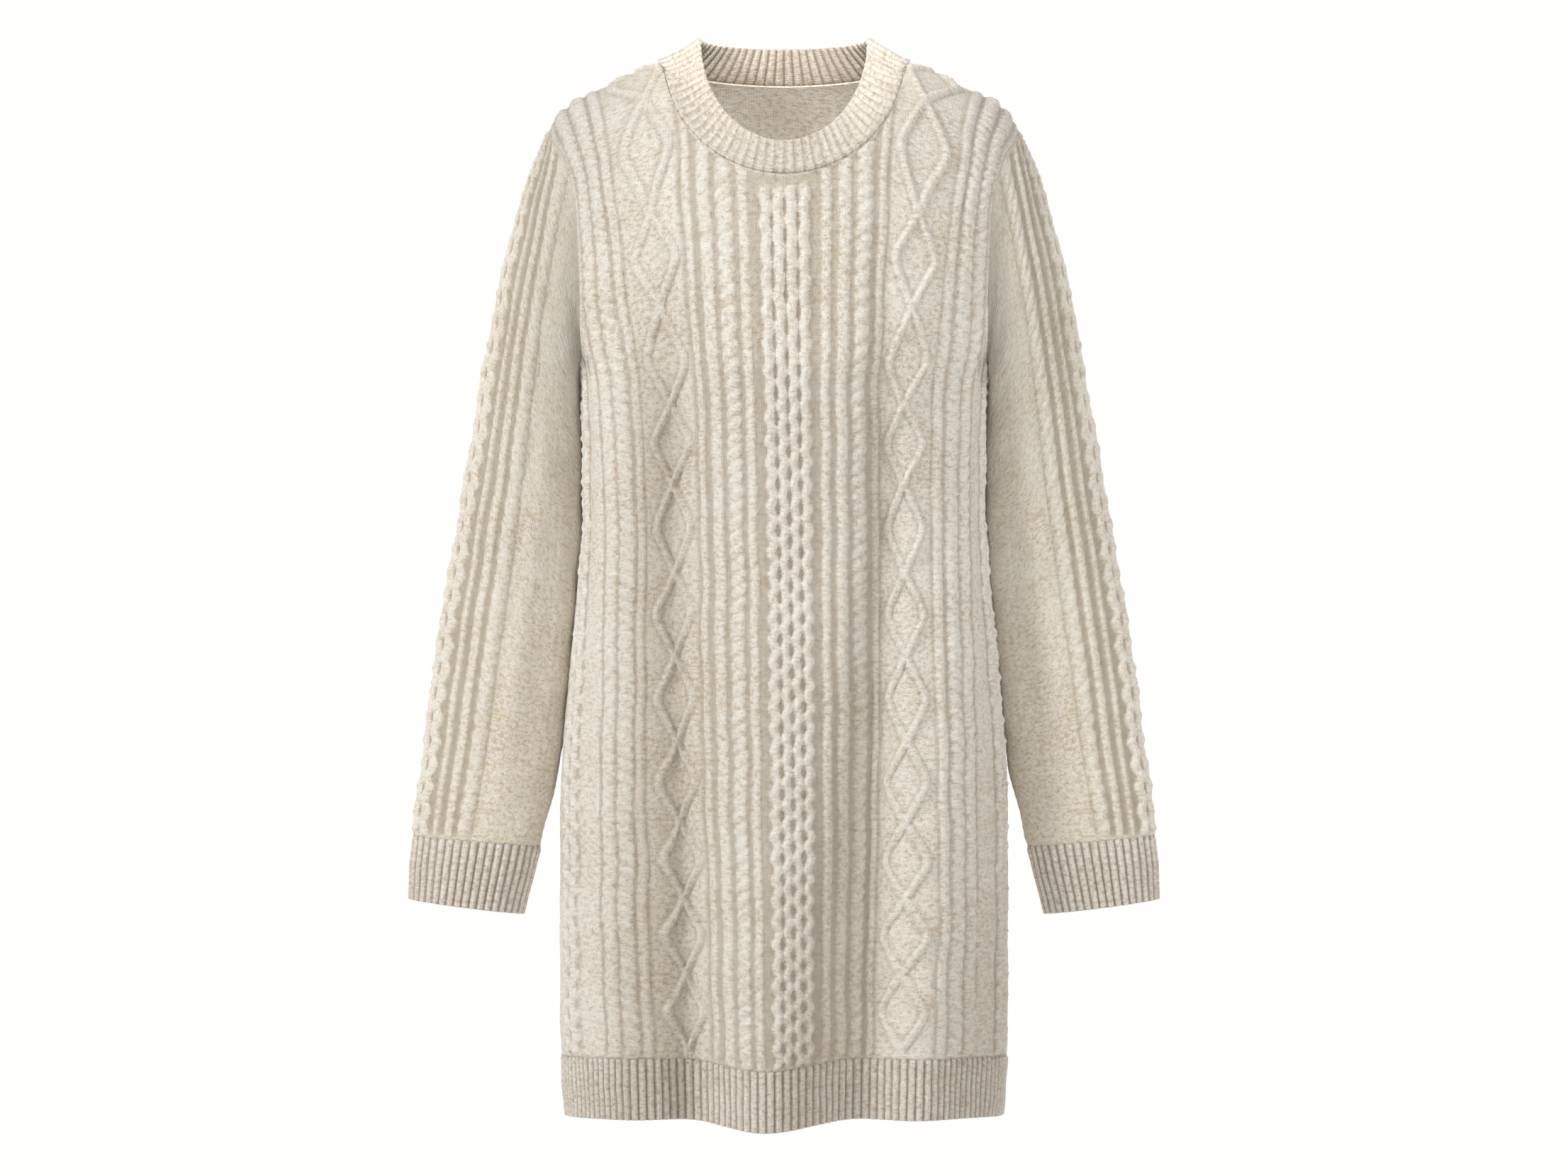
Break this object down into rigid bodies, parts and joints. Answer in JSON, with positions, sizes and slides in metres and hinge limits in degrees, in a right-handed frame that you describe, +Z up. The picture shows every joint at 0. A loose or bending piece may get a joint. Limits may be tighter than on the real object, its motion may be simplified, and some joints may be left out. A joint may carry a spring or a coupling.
{
  "type": "long-sleeved cable-knit sweater dress, worn shape with no wearer",
  "caption": "Hollow long-sleeved knitted dress with a round ribbed neck, ribbed cuffs and hem, raised cables and diamond panels, and soft folds down to the hem.",
  "frame": {"origin": "midway between the high points of the shoulders, where the neck rib joins the shoulder seams", "axes": "+Z up, the front faces -Y, the wearer's left sleeve is on +X"},
  "size_m": [0.6096, 0.2267, 0.8735],
  "materials": {
    "panel_knit": "brushed oatmeal marl wool, cable knit",
    "sleeve_knit": "brushed oatmeal marl wool, cable and plain knit",
    "rib_knit": "oatmeal marl wool, one-by-one rib"
  },
  "bodies": {
    "root": {"front_panel": "panel_knit", "back_panel": "panel_knit", "left_sleeve": "sleeve_knit", "right_sleeve": "sleeve_knit", "neck_rib": "rib_knit", "front_hem_rib": "rib_knit", "back_hem_rib": "rib_knit", "left_cuff": "rib_knit", "right_cuff": "rib_knit"}
  },
  "joints": []
}
